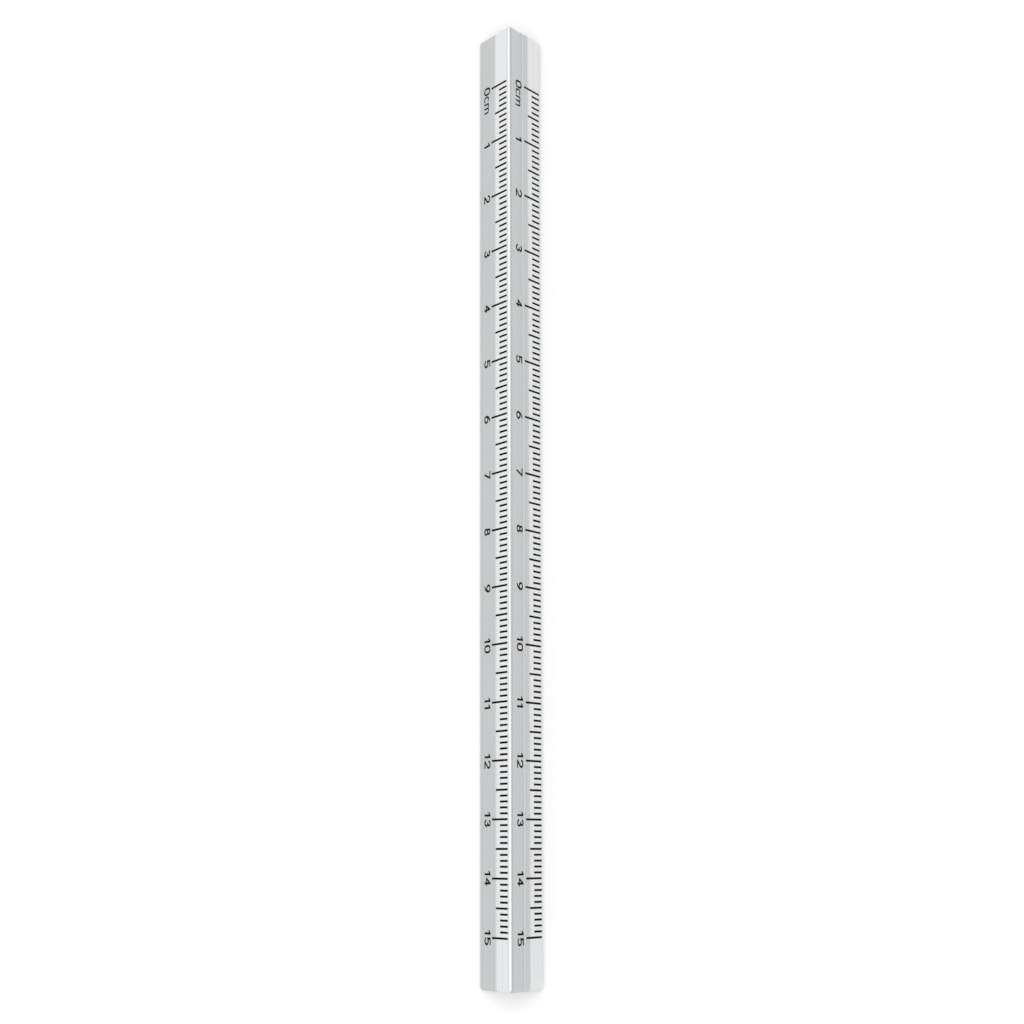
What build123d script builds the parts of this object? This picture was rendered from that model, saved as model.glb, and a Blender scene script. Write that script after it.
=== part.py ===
"""Triangular scale ruler, 15 cm: a hollow triangular aluminium extrusion with a metric scale on each
of its three faces, ink-filled engraved marks, and a moulded plug pressed into each end.

Frame, in millimetres: the ruler lies on one face with a ridge up. X runs along it with the zero end
at -X, Z is up, and the origin is under the middle of the ruler, on the surface that it lies on.
"""

import os
from math import atan2, cos, degrees, floor, radians, sin, sqrt

from build123d import *

# ---------------------------------------------------------------- overall sizes
RULER_LENGTH = 169.0  # end to end
FACE_WIDTH = 11.7  # side of the triangular section, measured to its sharp corners
CORNER_RADIUS = 0.55  # rounding along the three long edges

# ---------------------------------------------------------------- extruded body
WALL = 1.3  # thickness of the hollow section's walls
BORE_CORNER_RADIUS = 0.6  # rounding inside the hollow's three corners
PANEL_DEPTH = 0.12  # how far each numeral panel lies below the land beside it
END_CHAMFER = 0.35  # deburred edge round each sawn end
BORE_END_CHAMFER = 0.15  # the same on the hollow's edge

# ---------------------------------------------------------------- end plugs
PLUG_LENGTH = 6.0
PLUG_RECESS = 0.4  # how far the plug's outer face lies inside the end of the body
PLUG_CLEARANCE = 0.12  # gap all round between the plug and the hollow
PLUG_FACE_CHAMFER = 0.15  # broken edge round the plug's outer face
PLUG_LEAD_IN = 0.4  # taper on the plug's inner end
RIB_WIDTH = 0.5  # grip ribs that close the clearance
RIB_PITCH = 1.8  # distance between the two ribs on each side of the plug
RIB_LENGTH = 4.4
RIB_SETBACK = 0.6  # from the plug's outer face to where its ribs start
GATE_MARK_RADIUS = 0.6  # dimple in the plug's outer face where it was moulded
GATE_MARK_DEPTH = 0.15

# ---------------------------------------------------------------- scale
START_MARGIN = 10.0  # from the zero end to the zero mark
LEAST_END_MARGIN = 8.0  # room kept after the last centimetre
MARK_WIDTH = 0.36  # width of every engraved line
MARK_INSET = 1.12  # from the marks' outer ends to the sharp corner beside them
MM_MARK_LENGTH = 2.65
HALF_CM_MARK_LENGTH = 4.05
CM_MARK_LENGTH = 5.4
LAND_LEAD = 0.5  # land left between a centimetre mark and the edge of the panel
ENGRAVING_DEPTH = 0.08
INK_DEPTH = 0.06  # ink stops just short of the surface

# ---------------------------------------------------------------- numerals
NUMERAL_HEIGHT = 2.15
DIGIT_WIDTH = 1.45
ONE_WIDTH = 0.8  # the figure 1 is narrower than the others
DIGIT_GAP = 0.38
PEN_WIDTH = 0.36  # width of the engraving tool's stroke
NUMERAL_TOP_GAP = 0.06  # from the top of the figures to the foot of the land
UNIT_HEIGHT = 1.7  # height of the letters c and m
UNIT_C_WIDTH = 1.15
UNIT_M_WIDTH = 1.9
UNIT_GAP = 0.15  # before each letter of the unit
UNIT_PEN_WIDTH = 0.3

# ---------------------------------------------------------------- worked out
MM_PER_CM = 10
TOOL_RISE = 0.2  # how far cutting tools stand out of the surface they cut
SAME_PLACE = 1e-6  # points closer than this are one point
APOTHEM = FACE_WIDTH / (2 * sqrt(3))  # from the section's centre to a face
BORE_APOTHEM = APOTHEM - WALL
PLUG_APOTHEM = BORE_APOTHEM - PLUG_CLEARANCE
ZERO_X = -RULER_LENGTH / 2 + START_MARGIN
LAST_CM = floor((RULER_LENGTH - START_MARGIN - LEAST_END_MARGIN) / MM_PER_CM)
MARK_OUTER_END = FACE_WIDTH - MARK_INSET
LAND_START = MARK_OUTER_END - CM_MARK_LENGTH - LAND_LEAD
PANEL_WIDTH = LAND_START - PANEL_DEPTH
NUMERAL_BASE = PANEL_WIDTH - NUMERAL_TOP_GAP - NUMERAL_HEIGHT

# The three faces follow one another round the section, each a third of a turn from the last.
FACE_TURNS = {"front": 0, "back": -120, "bottom": 120}


def turned(point, angle):
    """A point of the section (y, z) turned about the section's centre by an angle in degrees."""
    y, z = point
    c, s = cos(radians(angle)), sin(radians(angle))
    return (y * c - z * s, y * s + z * c)


def on_face(across, out, face):
    """The (y, z) place, from the section's centre, of a point measured on a face: across it from
    the sharp corner on its numeral side, and out of it from the plane of its land."""
    along, height = across - FACE_WIDTH / 2, APOTHEM + out
    front = (0.5 * along - sqrt(3) / 2 * height, sqrt(3) / 2 * along + 0.5 * height)
    return turned(front, FACE_TURNS[face])


def prism(outline, corner_radius, corners, start_x, length):
    """Extrudes a closed outline of (y, z) points along X. Only the named corners are rounded."""
    section = Plane(origin=(start_x, 0, APOTHEM), x_dir=(0, 1, 0), z_dir=(1, 0, 0))
    sharp = make_face(Polyline(*outline, close=True))
    picked = [v for v in sharp.vertices() if any(near(v, corner) for corner in corners)]
    rounded = fillet(picked, corner_radius)
    return extrude(section * rounded, amount=length)


def near(vertex, point):
    """True where a vertex of a section is at the given place."""
    return abs(vertex.X - point[0]) < SAME_PLACE and abs(vertex.Y - point[1]) < SAME_PLACE


def triangle(apothem):
    """The three corners of an equilateral section whose faces are this far from its centre."""
    ridge = (0, 2 * apothem)
    return [turned(ridge, turn) for turn in (0, -120, 120)]


def face_plane(face):
    """A plane on a face's land: X along the ruler from the zero mark, Y across the face from the
    corner on its numeral side, Z out of it."""
    y, z = on_face(0, 0, face)
    out_y, out_z = turned((-sqrt(3) / 2, 0.5), FACE_TURNS[face])
    return Plane(origin=(ZERO_X, y, z + APOTHEM), x_dir=(1, 0, 0), z_dir=(0, out_y, out_z))


# ---------------------------------------------------------------- body and plugs
def body_blank():
    """The extrusion before engraving: on each face a raised land, a short 45 degree step down and
    the numeral panel, so that the figures stay clear of whatever the ruler slides on."""
    outline = []
    corners = []
    for face in FACE_TURNS:
        outline.append(on_face(PANEL_WIDTH, -PANEL_DEPTH, face))
        outline.append(on_face(LAND_START, 0, face))
        # The land meets the next face's sunken panel here.
        corner = on_face(FACE_WIDTH - 2 * PANEL_DEPTH / sqrt(3), 0, face)
        outline.append(corner)
        corners.append(corner)
    start_x = -RULER_LENGTH / 2
    outside = prism(outline, CORNER_RADIUS, corners, start_x, RULER_LENGTH)
    outside = with_broken_ends(outside, END_CHAMFER, END_CHAMFER)
    hollow_corners = triangle(BORE_APOTHEM)
    hollow = prism(hollow_corners, BORE_CORNER_RADIUS, hollow_corners, start_x, RULER_LENGTH)
    tube = outside - hollow
    for end in (0, -1):
        rim = tube.faces().sort_by(Axis.X)[end].inner_wires()[0]
        tube = chamfer(rim.edges(), BORE_END_CHAMFER)
    return tube


def with_broken_ends(bar, near_chamfer, far_chamfer):
    """Chamfers the edges round both ends of a bar that lies along X."""
    bar = chamfer(bar.faces().sort_by(Axis.X)[0].edges(), near_chamfer)
    return chamfer(bar.faces().sort_by(Axis.X)[-1].edges(), far_chamfer)


def plug_rib(side_turn, offset, start_x):
    """One grip rib: a low bar on a side of the plug that reaches the hollow's wall."""
    bar = Box(RIB_LENGTH, RIB_WIDTH, 2 * PLUG_CLEARANCE, align=(Align.MIN, Align.CENTER, Align.MAX))
    placed = Pos(0, offset, BORE_APOTHEM) * bar
    return Pos(start_x, 0, APOTHEM) * Rot(180 + side_turn, 0, 0) * placed


def zero_end_plug():
    """The plug at the zero end: a bar with a lead-in, six grip ribs and a gate mark."""
    corners = triangle(PLUG_APOTHEM)
    outer_x = -RULER_LENGTH / 2 + PLUG_RECESS
    plug = prism(corners, BORE_CORNER_RADIUS - PLUG_CLEARANCE, corners, outer_x, PLUG_LENGTH)
    plug = with_broken_ends(plug, PLUG_FACE_CHAMFER, PLUG_LEAD_IN)
    for side_turn in FACE_TURNS.values():
        for offset in (-RIB_PITCH / 2, RIB_PITCH / 2):
            plug += plug_rib(side_turn, offset, outer_x + RIB_SETBACK)
    gate = Cylinder(GATE_MARK_RADIUS, 2 * GATE_MARK_DEPTH)
    return plug - Pos(outer_x, 0, APOTHEM) * Rot(0, 90, 0) * gate


def far_end_plug():
    """The plug at the other end is the same moulding, facing the other way."""
    return mirror(zero_end_plug(), about=Plane.YZ)


# ---------------------------------------------------------------- marks
def mark(position, length):
    """The outline of one engraved line: its place along the scale and its length."""
    at_outer_end = Pos(position, MARK_OUTER_END)
    return at_outer_end * Rectangle(MARK_WIDTH, length, align=(Align.CENTER, Align.MAX))


def mark_rows():
    """The outlines of the three lengths of mark, each a list."""
    rows = {"mm_marks": [], "half_cm_marks": [], "cm_marks": []}
    for millimetre in range(LAST_CM * MM_PER_CM + 1):
        if millimetre % MM_PER_CM == 0:
            rows["cm_marks"].append(mark(millimetre, CM_MARK_LENGTH))
        elif millimetre % (MM_PER_CM // 2) == 0:
            rows["half_cm_marks"].append(mark(millimetre, HALF_CM_MARK_LENGTH))
        else:
            rows["mm_marks"].append(mark(millimetre, MM_MARK_LENGTH))
    return rows


# ---------------------------------------------------------------- figures and letters
def pen_line(start, end, pen):
    """A straight stroke with round ends."""
    return SlotArc(Line(start, end), pen)


def pen_arc(centre, radius, start, sweep, pen):
    """A curved stroke with round ends. Angles are in degrees from the right, anticlockwise."""
    return SlotArc(CenterArc(centre, radius, start, sweep), pen)


def pen_ring(centre, radius, pen):
    """A stroke round a full circle."""
    ring = Circle(radius + pen / 2) - Circle(radius - pen / 2)
    return Pos(*centre) * ring


def joined(strokes):
    """One outline from overlapping strokes."""
    whole = strokes[0]
    for stroke in strokes[1:]:
        whole += stroke
    return whole


def six_strokes(width, height, pen):
    """A round bowl, with a stem that leaves its left side and bends over to the right."""
    bowl = width / 2
    tip_x, rise = 0.78 * width, height - bowl
    bend = (tip_x**2 + rise**2) / (2 * tip_x)
    turn = degrees(atan2(rise, tip_x - bend))
    return [
        pen_ring((bowl, bowl), bowl, pen),
        pen_arc((bend, bowl), bend, 180, turn - 180, pen),
    ]


def digit_outline(digit):
    """One figure in plain technical lettering, its lower left corner at the origin. Sizes here are
    to the middle of the pen stroke, in parts of the figure's width and height, and angles are in
    degrees: each curve is cut short where a draughtsman would lift the pen."""
    pen = PEN_WIDTH
    width, height = DIGIT_WIDTH - pen, NUMERAL_HEIGHT - pen
    half = width / 2
    low = 0.27 * height  # radius of the lower bowl of 3 and 8
    high = height / 2 - low  # radius of the upper bowl
    if digit == "0":
        strokes = [
            pen_arc((half, height - half), half, 0, 180, pen),
            pen_arc((half, half), half, 180, 180, pen),
            pen_line((0, half), (0, height - half), pen),
            pen_line((width, half), (width, height - half), pen),
        ]
    elif digit == "1":
        stem = ONE_WIDTH - pen
        strokes = [
            pen_line((stem, 0), (stem, height), pen),
            pen_line((0, 0.78 * height), (stem, height), pen),
        ]
    elif digit == "2":
        end_turn = -38
        end_x = half + half * cos(radians(end_turn))
        end_y = height - half + half * sin(radians(end_turn))
        strokes = [
            pen_arc((half, height - half), half, 170, end_turn - 170, pen),
            pen_line((end_x, end_y), (0, 0), pen),
            pen_line((0, 0), (width, 0), pen),
        ]
    elif digit == "3":
        strokes = [
            pen_arc((half, height - high), high, 155, -245, pen),
            pen_arc((half, low), low, 90, -250, pen),
        ]
    elif digit == "4":
        stem, bar = 0.72 * width, 0.3 * height
        strokes = [
            pen_line((stem, 0), (stem, height), pen),
            pen_line((stem, height), (0, bar), pen),
            pen_line((0, bar), (width, bar), pen),
        ]
    elif digit == "5":
        bowl = 0.31 * height
        left = 0.1 * width
        turn = 142
        join_x = width - bowl + bowl * cos(radians(turn))
        join_y = bowl + bowl * sin(radians(turn))
        strokes = [
            pen_line((left, height), (0.94 * width, height), pen),
            pen_line((left, height), (join_x, join_y), pen),
            pen_arc((width - bowl, bowl), bowl, turn, -turn - 145, pen),
        ]
    elif digit == "6":
        strokes = six_strokes(width, height, pen)
    elif digit == "7":
        strokes = [
            pen_line((0, height), (width, height), pen),
            pen_line((width, height), (0.35 * width, 0), pen),
        ]
    elif digit == "8":
        strokes = [
            pen_ring((half, height - high), high, pen),
            pen_ring((half, low), low, pen),
        ]
    else:
        # The figure 9 is a 6 turned upside down.
        about_middle = Pos(width, height) * Rot(0, 0, 180)
        strokes = [about_middle * stroke for stroke in six_strokes(width, height, pen)]
    return Pos(pen / 2, pen / 2) * joined(strokes)


def digit_width(digit):
    """The room that a figure takes along its line."""
    return ONE_WIDTH if digit == "1" else DIGIT_WIDTH


def numeral_outlines(digits):
    """The figures of every centimetre, each number centred on its mark."""
    outlines = []
    for centimetre in range(LAST_CM + 1):
        text = str(centimetre)
        text_width = sum(digit_width(d) for d in text) + DIGIT_GAP * (len(text) - 1)
        left = centimetre * MM_PER_CM - text_width / 2
        for digit in text:
            outlines.append(Pos(left, NUMERAL_BASE) * digits[digit])
            left += digit_width(digit) + DIGIT_GAP
    return outlines


def unit_outlines():
    """The letters c and m, which follow the zero."""
    pen = UNIT_PEN_WIDTH
    height = UNIT_HEIGHT - pen
    c_radius = (UNIT_C_WIDTH - pen) / 2
    c_strokes = [
        pen_arc((c_radius, height - c_radius), c_radius, 40, 140, pen),
        pen_line((0, c_radius), (0, height - c_radius), pen),
        pen_arc((c_radius, c_radius), c_radius, 180, 140, pen),
    ]
    arch = (UNIT_M_WIDTH - pen) / 4
    m_strokes = [pen_line((0, 0), (0, height), pen)]
    for leg in (1, 2):
        m_strokes.append(pen_arc(((2 * leg - 1) * arch, height - arch), arch, 0, 180, pen))
        m_strokes.append(pen_line((2 * leg * arch, 0), (2 * leg * arch, height - arch), pen))
    left = DIGIT_WIDTH / 2 + UNIT_GAP + pen / 2
    letter_c = Pos(left, NUMERAL_BASE + pen / 2) * joined(c_strokes)
    left += UNIT_C_WIDTH + UNIT_GAP
    letter_m = Pos(left, NUMERAL_BASE + pen / 2) * joined(m_strokes)
    return [letter_c, letter_m]


# ---------------------------------------------------------------- engraving
def raised(outlines, plane, floor_depth, height):
    """Extrudes each outline from floor_depth under the land's plane, straight out of the face."""
    floor_plane = plane.offset(-floor_depth)
    return [extrude(floor_plane * outline, amount=height) for outline in outlines]


def engrave(blank):
    """Cuts every mark and figure into the body, and makes the ink that fills each group."""
    digits = {digit: digit_outline(digit) for digit in "0123456789"}
    groups = {name: (outlines, 0) for name, outlines in mark_rows().items()}
    groups["numerals"] = (numeral_outlines(digits), PANEL_DEPTH)
    groups["unit_letters"] = (unit_outlines(), PANEL_DEPTH)
    inks = {}
    cutters = []
    for face in FACE_TURNS:
        plane = face_plane(face)
        for name, (outlines, surface_depth) in groups.items():
            floor_depth = surface_depth + ENGRAVING_DEPTH
            cutters += raised(outlines, plane, floor_depth, ENGRAVING_DEPTH + TOOL_RISE)
            inks[f"{face}_{name}"] = raised(outlines, plane, floor_depth, INK_DEPTH)
    solids = [solid for cutter in cutters for solid in cutter.solids()]
    return blank.cut(*solids), inks


# ---------------------------------------------------------------- writing
def write(name, shapes):
    """Writes one node from one or more separate solids."""
    solids = [solid for shape in shapes for solid in shape.solids()]
    node = solids[0] if len(solids) == 1 else Compound(children=solids)
    node.label = name
    export_step(node, os.path.join("parts", f"{name}.step"))


def main():
    os.makedirs("parts", exist_ok=True)
    body, inks = engrave(body_blank())
    write("scale_body", [body])
    write("zero_end_plug", [zero_end_plug()])
    write("far_end_plug", [far_end_plug()])
    for name, ink in inks.items():
        write(name, ink)


if __name__ == "__main__":
    main()
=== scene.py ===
"""Triangular scale ruler: the finishes of its parts, and the studio that it is shown in."""

from math import cos, pi, radians, sin, sqrt

import bpy
from bpy.props import FloatProperty, FloatVectorProperty, PointerProperty, StringProperty
from mathutils import Matrix, Vector

bl_info = {
    "name": "Triangular Scale Ruler",
    "version": (1, 0, 0),
    "blender": (4, 5, 0),
    "location": "3D View > Sidebar > Ruler",
    "description": "Finishes a triangular scale ruler and sets up its studio",
    "category": "Object",
}

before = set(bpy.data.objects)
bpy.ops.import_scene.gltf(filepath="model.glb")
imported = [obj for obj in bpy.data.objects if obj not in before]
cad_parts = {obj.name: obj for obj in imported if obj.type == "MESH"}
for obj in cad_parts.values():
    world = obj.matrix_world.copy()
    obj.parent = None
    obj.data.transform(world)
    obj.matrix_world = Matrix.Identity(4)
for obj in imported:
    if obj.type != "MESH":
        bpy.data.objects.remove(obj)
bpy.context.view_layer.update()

FACES = ("front", "back", "bottom")
FACE_TURNS = {"front": 0.0, "back": -2 * pi / 3, "bottom": 2 * pi / 3}
MARK_GROUPS = ("mm_marks", "half_cm_marks", "cm_marks", "numerals", "unit_letters")
PLUGS = ("zero_end_plug", "far_end_plug")
MM = 0.001

# A noise texture's values lie mostly between these two.
NOISE_LOW, NOISE_HIGH = 0.3, 0.7
DIE_LINE_STRETCH = 4.0  # noise cells per metre of length, so each die line is long
RELIEF = 0.004 * MM  # height of the metal's die lines, and of its grain
ROUGHNESS_LESS, ROUGHNESS_MORE = 0.04, 0.05  # how far the metal's roughness varies
ABS_IOR = 1.53
MOULD_TEXTURE_SIZE = 0.15 * MM
MOULD_RELIEF = 0.006 * MM
INK_MOTTLE_SIZE = 0.2 * MM
INK_SPECULAR = 0.08  # the ink hardly shines
PAPER_SPECULAR = 0.2


def section_apothem():
    """Distance from the middle of the triangular section to each face, in metres.

    The three rows of centimetre marks are one row turned about the middle of the section, so their
    points average to that middle. Its height over the floor is the distance to the bottom face.
    """
    heights = []
    for face in FACES:
        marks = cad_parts[f"{face}_cm_marks"]
        heights += [(marks.matrix_world @ vertex.co).z for vertex in marks.data.vertices]
    return sum(heights) / len(heights)


APOTHEM = section_apothem()
FACE_WIDTH = 2 * sqrt(3) * APOTHEM


# ------------------------------------------------------------------ colours and nodes
def linear(hex_colour):
    """An sRGB colour such as 'C8CACB' as linear red, green, blue and alpha."""
    channels = [int(hex_colour[i : i + 2], 16) / 255 for i in (0, 2, 4)]
    return [c / 12.92 if c <= 0.04045 else ((c + 0.055) / 1.055) ** 2.4 for c in channels] + [1.0]


def add_node(tree, kind, inputs=None, **settings):
    """Adds a shader node. Each input is a constant, or another node's output to link to it."""
    node = tree.nodes.new(kind)
    for name, value in settings.items():
        setattr(node, name, value)
    for key, value in (inputs or {}).items():
        if isinstance(value, bpy.types.NodeSocket):
            tree.links.new(value, node.inputs[key])
        else:
            node.inputs[key].default_value = value
    return node


def new_material(name):
    """An empty material with a Principled surface. Returns the material, its tree and its shader."""
    material = bpy.data.materials.new(name)
    material.use_nodes = True
    tree = material.node_tree
    tree.nodes.clear()
    shader = add_node(tree, "ShaderNodeBsdfPrincipled")
    add_node(tree, "ShaderNodeOutputMaterial", {"Surface": shader.outputs["BSDF"]})
    return material, tree, shader


def give(material, nodes):
    """Puts one material on each of the named CAD nodes."""
    for name in nodes:
        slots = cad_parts[name].data.materials
        slots.clear()
        slots.append(material)


# ------------------------------------------------------------------ settings
class RulerFinish(bpy.types.PropertyGroup):
    """Colours and surface sizes of the ruler's materials."""

    panel_colour: StringProperty(
        name="Panel colour", description="Anodised metal under the figures, sRGB hex",
        default="C4C5C6",
    )
    land_colour: StringProperty(
        name="Band colour", description="Brighter metal under the marks, sRGB hex", default="E1E2E3"
    )
    plug_colour: StringProperty(
        name="Plug colour", description="Moulded end plugs, sRGB hex", default="A4A6A7"
    )
    ink_colour: StringProperty(
        name="Ink colour", description="Ink in the engraving, sRGB hex", default="040405"
    )
    band_width: FloatProperty(
        name="Band width",
        description="From the corner beside the marks to where the bright band ends",
        default=5.15 * MM, subtype="DISTANCE", unit="LENGTH",
    )
    band_blur: FloatProperty(
        name="Band blur", description="Width over which the bright band fades",
        default=1.0 * MM, subtype="DISTANCE", unit="LENGTH",
    )
    corner_drop: FloatProperty(
        name="Corner drop",
        description="How far below the band's plane it still counts, as it rolls over the corner",
        default=0.3 * MM, subtype="DISTANCE", unit="LENGTH",
    )
    die_line_pitch: FloatProperty(
        name="Die line pitch", description="Spacing of the faint lines along the extrusion",
        default=0.35 * MM, subtype="DISTANCE", unit="LENGTH",
    )
    grain_size: FloatProperty(
        name="Grain size", description="Etched grain of the anodised surface",
        default=0.12 * MM, subtype="DISTANCE", unit="LENGTH",
    )
    metal_roughness: FloatProperty(
        name="Metal roughness", description="Roughness of the satin surface",
        default=0.36, min=0, max=1,
    )


class RulerStudio(bpy.types.PropertyGroup):
    """The camera, floor, sky and softbox."""

    focal_length: FloatProperty(
        name="Focal length", description="Camera focal length, in millimetres", default=82.2
    )
    camera_place: FloatVectorProperty(
        name="Camera place", description="Where the camera stands", default=(0.0605, 0.0, 0.409),
        subtype="TRANSLATION", unit="LENGTH",
    )
    camera_tilt: FloatProperty(
        name="Camera tilt", description="Lean of the view towards the zero end",
        default=radians(8.20), subtype="ANGLE", unit="ROTATION",
    )
    camera_pan: FloatProperty(
        name="Camera pan", description="Turn of the view towards the front face",
        default=radians(-0.04), subtype="ANGLE", unit="ROTATION",
    )
    camera_roll: FloatProperty(
        name="Camera roll", description="Turn of the camera about its own view",
        default=radians(-0.11), subtype="ANGLE", unit="ROTATION",
    )
    floor_colour: StringProperty(
        name="Floor colour", description="Plain pale floor, sRGB hex", default="F7F7F7"
    )
    floor_size: FloatProperty(
        name="Floor size", description="Side of the floor", default=4.0,
        subtype="DISTANCE", unit="LENGTH",
    )
    sky_strength: FloatProperty(
        name="Sky strength", description="Even light from all round", default=0.8, min=0
    )
    softbox_place: FloatVectorProperty(
        name="Softbox place", description="Where the softbox hangs", default=(0.05, -0.15, 0.9),
        subtype="TRANSLATION", unit="LENGTH",
    )
    softbox_target: FloatVectorProperty(
        name="Softbox target", description="The point that the softbox faces",
        default=(0.05, 0.0, 0.0), subtype="TRANSLATION", unit="LENGTH",
    )
    softbox_length: FloatProperty(
        name="Softbox length", description="Its side along the ruler", default=2.0,
        subtype="DISTANCE", unit="LENGTH",
    )
    softbox_width: FloatProperty(
        name="Softbox width", description="Its side across the ruler", default=1.8,
        subtype="DISTANCE", unit="LENGTH",
    )
    softbox_power: FloatProperty(
        name="Softbox power", description="Power of the softbox, in watts", default=7.5, min=0
    )


# ------------------------------------------------------------------ materials
def band_mask(tree, place, finish):
    """1 on the bright band beside each face's marks and 0 on the rest, from where a point lies."""
    mask = None
    for face in FACES:
        turn = FACE_TURNS[face]
        # The face's outward direction, and the direction across it towards its marks.
        out = Vector((0, -sqrt(3) / 2, 0.5))
        across = Vector((0, 0.5, sqrt(3) / 2))
        rotation = Matrix.Rotation(turn, 3, "X")
        out, across = rotation @ out, rotation @ across
        depth = add_node(
            tree, "ShaderNodeVectorMath", {0: place, 1: out}, operation="DOT_PRODUCT"
        )
        on_land = add_node(
            tree, "ShaderNodeMath", {0: depth.outputs["Value"], 1: APOTHEM - finish.corner_drop},
            operation="GREATER_THAN",
        )
        reach = add_node(
            tree, "ShaderNodeVectorMath", {0: place, 1: across}, operation="DOT_PRODUCT"
        )
        start = FACE_WIDTH / 2 - finish.band_width
        fade = add_node(
            tree, "ShaderNodeMapRange",
            {
                "Value": reach.outputs["Value"],
                "From Min": start - finish.band_blur / 2,
                "From Max": start + finish.band_blur / 2,
            },
            interpolation_type="SMOOTHSTEP",
        )
        here = add_node(
            tree, "ShaderNodeMath", {0: on_land.outputs[0], 1: fade.outputs[0]},
            operation="MULTIPLY",
        )
        if mask is None:
            mask = here
        else:
            mask = add_node(
                tree, "ShaderNodeMath", {0: mask.outputs[0], 1: here.outputs[0]},
                operation="MAXIMUM",
            )
    return mask.outputs[0]


def section_place(tree):
    """Object coordinates measured from the middle of the section."""
    coordinates = add_node(tree, "ShaderNodeTexCoord")
    middle = add_node(
        tree, "ShaderNodeVectorMath",
        {0: coordinates.outputs["Object"], 1: (0, 0, APOTHEM)}, operation="SUBTRACT",
    )
    return middle.outputs[0]


def anodised_aluminium(finish):
    """Extruded 6063 aluminium, etched and clear anodised: a satin silver that spreads reflections,
    with faint lines left by the die along its length and a paler band under the marks. To the eye
    it is a soft grey sheen, near white where the ridge rolls over."""
    material, tree, shader = new_material("satin_anodised_aluminium")
    place = section_place(tree)
    mask = band_mask(tree, place, finish)
    tone = add_node(
        tree, "ShaderNodeMix",
        {"Factor": mask, 6: linear(finish.panel_colour), 7: linear(finish.land_colour)},
        data_type="RGBA",
    )
    lines_per_metre = 1 / finish.die_line_pitch
    stretched = add_node(
        tree, "ShaderNodeMapping",
        {"Vector": place, "Scale": (DIE_LINE_STRETCH, lines_per_metre, lines_per_metre)},
    )
    die_lines = add_node(
        tree, "ShaderNodeTexNoise",
        {"Vector": stretched.outputs[0], "Scale": 1.0, "Detail": 3.0, "Roughness": 0.6},
    )
    grain = add_node(
        tree, "ShaderNodeTexNoise",
        {"Vector": place, "Scale": 1 / finish.grain_size, "Detail": 2.0, "Roughness": 0.5},
    )
    streaks = add_node(
        tree, "ShaderNodeMapRange",
        {
            "Value": die_lines.outputs[0], "From Min": NOISE_LOW, "From Max": NOISE_HIGH,
            "To Min": 0.94, "To Max": 1.04,
        },
    )
    streaked = add_node(
        tree, "ShaderNodeVectorMath",
        {0: tone.outputs[2], "Scale": streaks.outputs[0]}, operation="SCALE",
    )
    tree.links.new(streaked.outputs[0], shader.inputs["Base Color"])
    shader.inputs["Metallic"].default_value = 1.0
    rough = add_node(
        tree, "ShaderNodeMapRange",
        {
            "Value": die_lines.outputs[0], "From Min": NOISE_LOW, "From Max": NOISE_HIGH,
            "To Min": finish.metal_roughness - ROUGHNESS_LESS,
            "To Max": finish.metal_roughness + ROUGHNESS_MORE,
        },
    )
    tree.links.new(rough.outputs[0], shader.inputs["Roughness"])
    lines_bump = add_node(
        tree, "ShaderNodeBump",
        {"Height": die_lines.outputs[0], "Strength": 0.25, "Distance": RELIEF},
    )
    grain_bump = add_node(
        tree, "ShaderNodeBump",
        {
            "Height": grain.outputs[0], "Strength": 0.35, "Distance": RELIEF,
            "Normal": lines_bump.outputs[0],
        },
    )
    tree.links.new(grain_bump.outputs[0], shader.inputs["Normal"])
    return material


def moulded_abs(finish):
    """Injection-moulded ABS, light grey to go with the metal: a low sheen with a fine spark-eroded
    texture from the mould."""
    material, tree, shader = new_material("moulded_abs_light_grey")
    coordinates = add_node(tree, "ShaderNodeTexCoord")
    texture = add_node(
        tree, "ShaderNodeTexNoise",
        {"Vector": coordinates.outputs["Object"], "Scale": 1 / MOULD_TEXTURE_SIZE, "Detail": 3.0},
    )
    shade = add_node(
        tree, "ShaderNodeMapRange",
        {
            "Value": texture.outputs[0], "From Min": NOISE_LOW, "From Max": NOISE_HIGH,
            "To Min": 0.95, "To Max": 1.05,
        },
    )
    colour = add_node(
        tree, "ShaderNodeVectorMath",
        {0: linear(finish.plug_colour)[:3], "Scale": shade.outputs[0]}, operation="SCALE",
    )
    tree.links.new(colour.outputs[0], shader.inputs["Base Color"])
    shader.inputs["Roughness"].default_value = 0.48
    shader.inputs["IOR"].default_value = ABS_IOR
    bump = add_node(
        tree, "ShaderNodeBump",
        {"Height": texture.outputs[0], "Strength": 0.3, "Distance": MOULD_RELIEF},
    )
    tree.links.new(bump.outputs[0], shader.inputs["Normal"])
    return material


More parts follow.
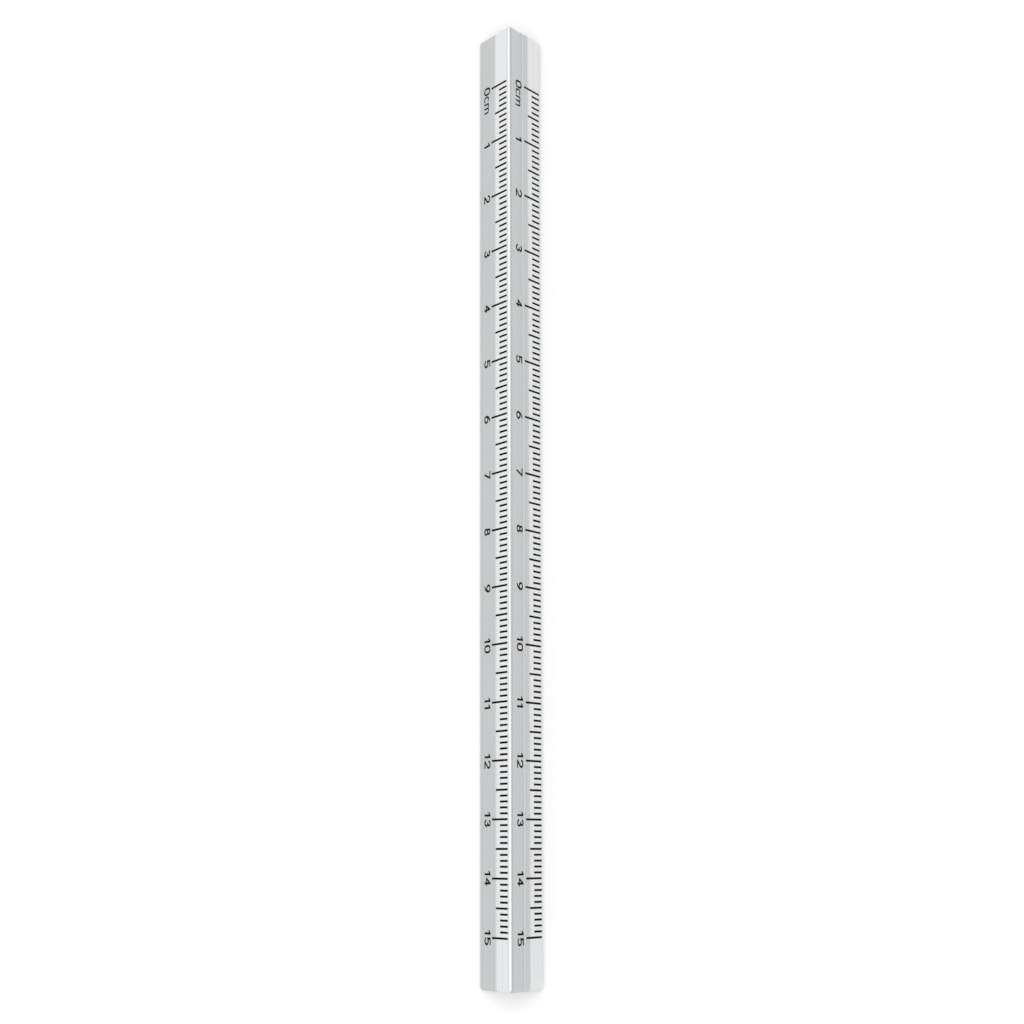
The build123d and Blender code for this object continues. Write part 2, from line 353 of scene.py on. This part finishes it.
def filling_ink(finish):
    """Black epoxy marking ink wiped into the engraving: dense and nearly matt, a little uneven."""
    material, tree, shader = new_material("black_engraving_ink")
    coordinates = add_node(tree, "ShaderNodeTexCoord")
    mottle = add_node(
        tree, "ShaderNodeTexNoise",
        {"Vector": coordinates.outputs["Object"], "Scale": 1 / INK_MOTTLE_SIZE, "Detail": 3.0},
    )
    shade = add_node(
        tree, "ShaderNodeMapRange",
        {
            "Value": mottle.outputs[0], "From Min": NOISE_LOW, "From Max": NOISE_HIGH,
            "To Min": 0.6, "To Max": 1.5,
        },
    )
    colour = add_node(
        tree, "ShaderNodeVectorMath",
        {0: linear(finish.ink_colour)[:3], "Scale": shade.outputs[0]}, operation="SCALE",
    )
    tree.links.new(colour.outputs[0], shader.inputs["Base Color"])
    rough = add_node(
        tree, "ShaderNodeMapRange",
        {
            "Value": mottle.outputs[0], "From Min": NOISE_LOW, "From Max": NOISE_HIGH,
            "To Min": 0.7, "To Max": 0.85,
        },
    )
    tree.links.new(rough.outputs[0], shader.inputs["Roughness"])
    shader.inputs["Specular IOR Level"].default_value = INK_SPECULAR
    return material


# ------------------------------------------------------------------ operators
class RULER_OT_finish_body(bpy.types.Operator):
    """Gives the extruded body its anodised aluminium"""

    bl_idname = "ruler.finish_body"
    bl_label = "Finish Body"

    def execute(self, context):
        give(anodised_aluminium(context.scene.ruler_finish), ["scale_body"])
        return {"FINISHED"}


class RULER_OT_finish_plugs(bpy.types.Operator):
    """Gives both end plugs their moulded plastic"""

    bl_idname = "ruler.finish_plugs"
    bl_label = "Finish End Plugs"

    def execute(self, context):
        give(moulded_abs(context.scene.ruler_finish), PLUGS)
        return {"FINISHED"}


class RULER_OT_fill_engraving(bpy.types.Operator):
    """Gives the ink in every mark, figure and letter its black"""

    bl_idname = "ruler.fill_engraving"
    bl_label = "Fill Engraving"

    def execute(self, context):
        inks = [f"{face}_{group}" for face in FACES for group in MARK_GROUPS]
        give(filling_ink(context.scene.ruler_finish), inks)
        return {"FINISHED"}


def add_softbox(studio):
    """One large, soft light overhead, so that the three edges catch it and no shadow is hard."""
    data = bpy.data.lights.new("overhead_softbox", "AREA")
    data.shape = "RECTANGLE"
    data.size, data.size_y = studio.softbox_length, studio.softbox_width
    data.energy = studio.softbox_power
    softbox = bpy.data.objects.new("overhead_softbox", data)
    place, target = Vector(studio.softbox_place), Vector(studio.softbox_target)
    softbox.location = place
    softbox.rotation_euler = (target - place).to_track_quat("-Z", "Y").to_euler()
    bpy.context.scene.collection.objects.link(softbox)


def set_camera(studio):
    """A camera over the far end, leaning back towards the zero end, which is up in its picture."""
    data = bpy.data.cameras.new("ruler_camera")
    data.sensor_width = 36
    data.lens = studio.focal_length
    data.clip_start = 0.01
    camera = bpy.data.objects.new("ruler_camera", data)
    tilt, pan = studio.camera_tilt, studio.camera_pan
    view = Vector((-sin(tilt), 0, -cos(tilt)))
    up = Vector((-cos(tilt), 0, sin(tilt)))
    right = view.cross(up)
    view, right = cos(pan) * view - sin(pan) * right, cos(pan) * right + sin(pan) * view
    turn = Matrix((right, up, -view)).transposed() @ Matrix.Rotation(studio.camera_roll, 3, "Z")
    camera.matrix_world = Matrix.Translation(studio.camera_place) @ turn.to_4x4()
    bpy.context.scene.collection.objects.link(camera)
    bpy.context.scene.camera = camera


def add_floor(studio):
    """A plain, pale, matt floor."""
    bpy.ops.object.select_all(action="DESELECT")
    bpy.ops.mesh.primitive_plane_add(size=studio.floor_size, location=(0, 0, 0))
    floor = bpy.context.active_object
    floor.name = "studio_floor"
    # White paper scatters light evenly, so the ruler stands on a clean, almost shadowless ground.
    material, _, shader = new_material("matt_white_paper")
    shader.inputs["Base Color"].default_value = linear(studio.floor_colour)
    shader.inputs["Roughness"].default_value = 0.9
    shader.inputs["Specular IOR Level"].default_value = PAPER_SPECULAR
    floor.data.materials.append(material)


def set_sky(studio):
    """Even, colourless light from all round."""
    world = bpy.data.worlds.new("studio_sky")
    world.use_nodes = True
    background = world.node_tree.nodes["Background"]
    background.inputs["Color"].default_value = (1, 1, 1, 1)
    background.inputs["Strength"].default_value = studio.sky_strength
    bpy.context.scene.world = world


class RULER_OT_build_stage(bpy.types.Operator):
    """Lays the pale floor and sets the camera, the sky and the softbox"""

    bl_idname = "ruler.build_stage"
    bl_label = "Build Stage"

    def execute(self, context):
        studio = context.scene.ruler_studio
        set_camera(studio)
        add_floor(studio)
        set_sky(studio)
        add_softbox(studio)
        context.scene.view_settings.view_transform = "Standard"
        return {"FINISHED"}


class RULER_PT_panel(bpy.types.Panel):
    """Lists the ruler's settings and its operators in the sidebar"""

    bl_label = "Scale Ruler"
    bl_idname = "RULER_PT_panel"
    bl_space_type = "VIEW_3D"
    bl_region_type = "UI"
    bl_category = "Ruler"

    def draw(self, context):
        for settings in (context.scene.ruler_finish, context.scene.ruler_studio):
            for name in settings.__annotations__:
                self.layout.prop(settings, name)
        for operator in OPERATORS:
            self.layout.operator(operator.bl_idname)


OPERATORS = (
    RULER_OT_finish_body,
    RULER_OT_finish_plugs,
    RULER_OT_fill_engraving,
    RULER_OT_build_stage,
)
CLASSES = (RulerFinish, RulerStudio, *OPERATORS, RULER_PT_panel)


def register():
    for cls in CLASSES:
        bpy.utils.register_class(cls)
    bpy.types.Scene.ruler_finish = PointerProperty(type=RulerFinish)
    bpy.types.Scene.ruler_studio = PointerProperty(type=RulerStudio)


def unregister():
    del bpy.types.Scene.ruler_studio
    del bpy.types.Scene.ruler_finish
    for cls in reversed(CLASSES):
        bpy.utils.unregister_class(cls)


def main():
    register()
    bpy.ops.ruler.build_stage()
    bpy.ops.ruler.finish_body()
    bpy.ops.ruler.finish_plugs()
    bpy.ops.ruler.fill_engraving()


if __name__ == "__main__":
    main()
